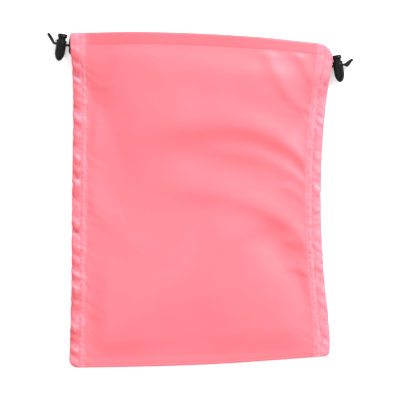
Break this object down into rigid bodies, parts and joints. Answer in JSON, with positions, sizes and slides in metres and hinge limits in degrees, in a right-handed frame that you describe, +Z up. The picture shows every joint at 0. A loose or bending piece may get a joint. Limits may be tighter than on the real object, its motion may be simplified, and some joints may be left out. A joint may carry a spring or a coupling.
{
  "type": "throw rope bag",
  "caption": "Flat drawstring pouch of coated nylon with two sewn side bands, a turned-in casing round the mouth and a spring cord lock at each top corner.",
  "frame": {"origin": "middle of the laid bag on the surface it lies on, under the back panel", "axes": "+X to the bag's right seen from above, +Y towards the mouth, +Z up from the back panel to the front panel"},
  "size_m": [0.2819, 0.3101, 0.0168],
  "materials": {
    "nylon_panel": "coated woven nylon, satin",
    "nylon_allowance": "coated woven nylon, turned-in raw edges",
    "drawcord": "braided polyester cord, matt",
    "lock_shell": "moulded nylon, satin black",
    "cord_seal": "melted cord end, black",
    "spring_wire": "spring steel wire"
  },
  "bodies": {
    "bag": {"front_panel": "nylon_panel", "back_panel": "nylon_panel", "left_seam_allowance": "nylon_allowance", "right_seam_allowance": "nylon_allowance", "bottom_seam_allowance": "nylon_allowance", "left_drawcord": "drawcord", "right_drawcord": "drawcord", "left_cord_tip": "cord_seal", "right_cord_tip": "cord_seal"},
    "left_lock": {"left_lock_barrel": "lock_shell", "left_lock_spring": "spring_wire"},
    "left_plunger": {"left_lock_plunger": "lock_shell"},
    "right_lock": {"right_lock_barrel": "lock_shell", "right_lock_spring": "spring_wire"},
    "right_plunger": {"right_lock_plunger": "lock_shell"}
  },
  "joints": [
    {"name": "left_lock_slide", "type": "slide", "parent": "bag", "child": "left_lock", "axis": [-0.9877, 0.1564, 0], "range_m": [-0.0024, 0.002]},
    {"name": "left_plunger_press", "type": "slide", "parent": "left_lock", "child": "left_plunger", "axis": [-0.1564, -0.9877, 0], "range_m": [0, 0.0022], "stiffness_N_per_m": 500, "springref_m": -0.003, "deforming": ["left_lock_spring"]},
    {"name": "right_lock_slide", "type": "slide", "parent": "bag", "child": "right_lock", "axis": [0.9877, 0.1564, 0], "range_m": [-0.0008, 0.002]},
    {"name": "right_plunger_press", "type": "slide", "parent": "right_lock", "child": "right_plunger", "axis": [0.1564, -0.9877, 0], "range_m": [0, 0.0022], "stiffness_N_per_m": 500, "springref_m": -0.003, "deforming": ["right_lock_spring"]}
  ]
}
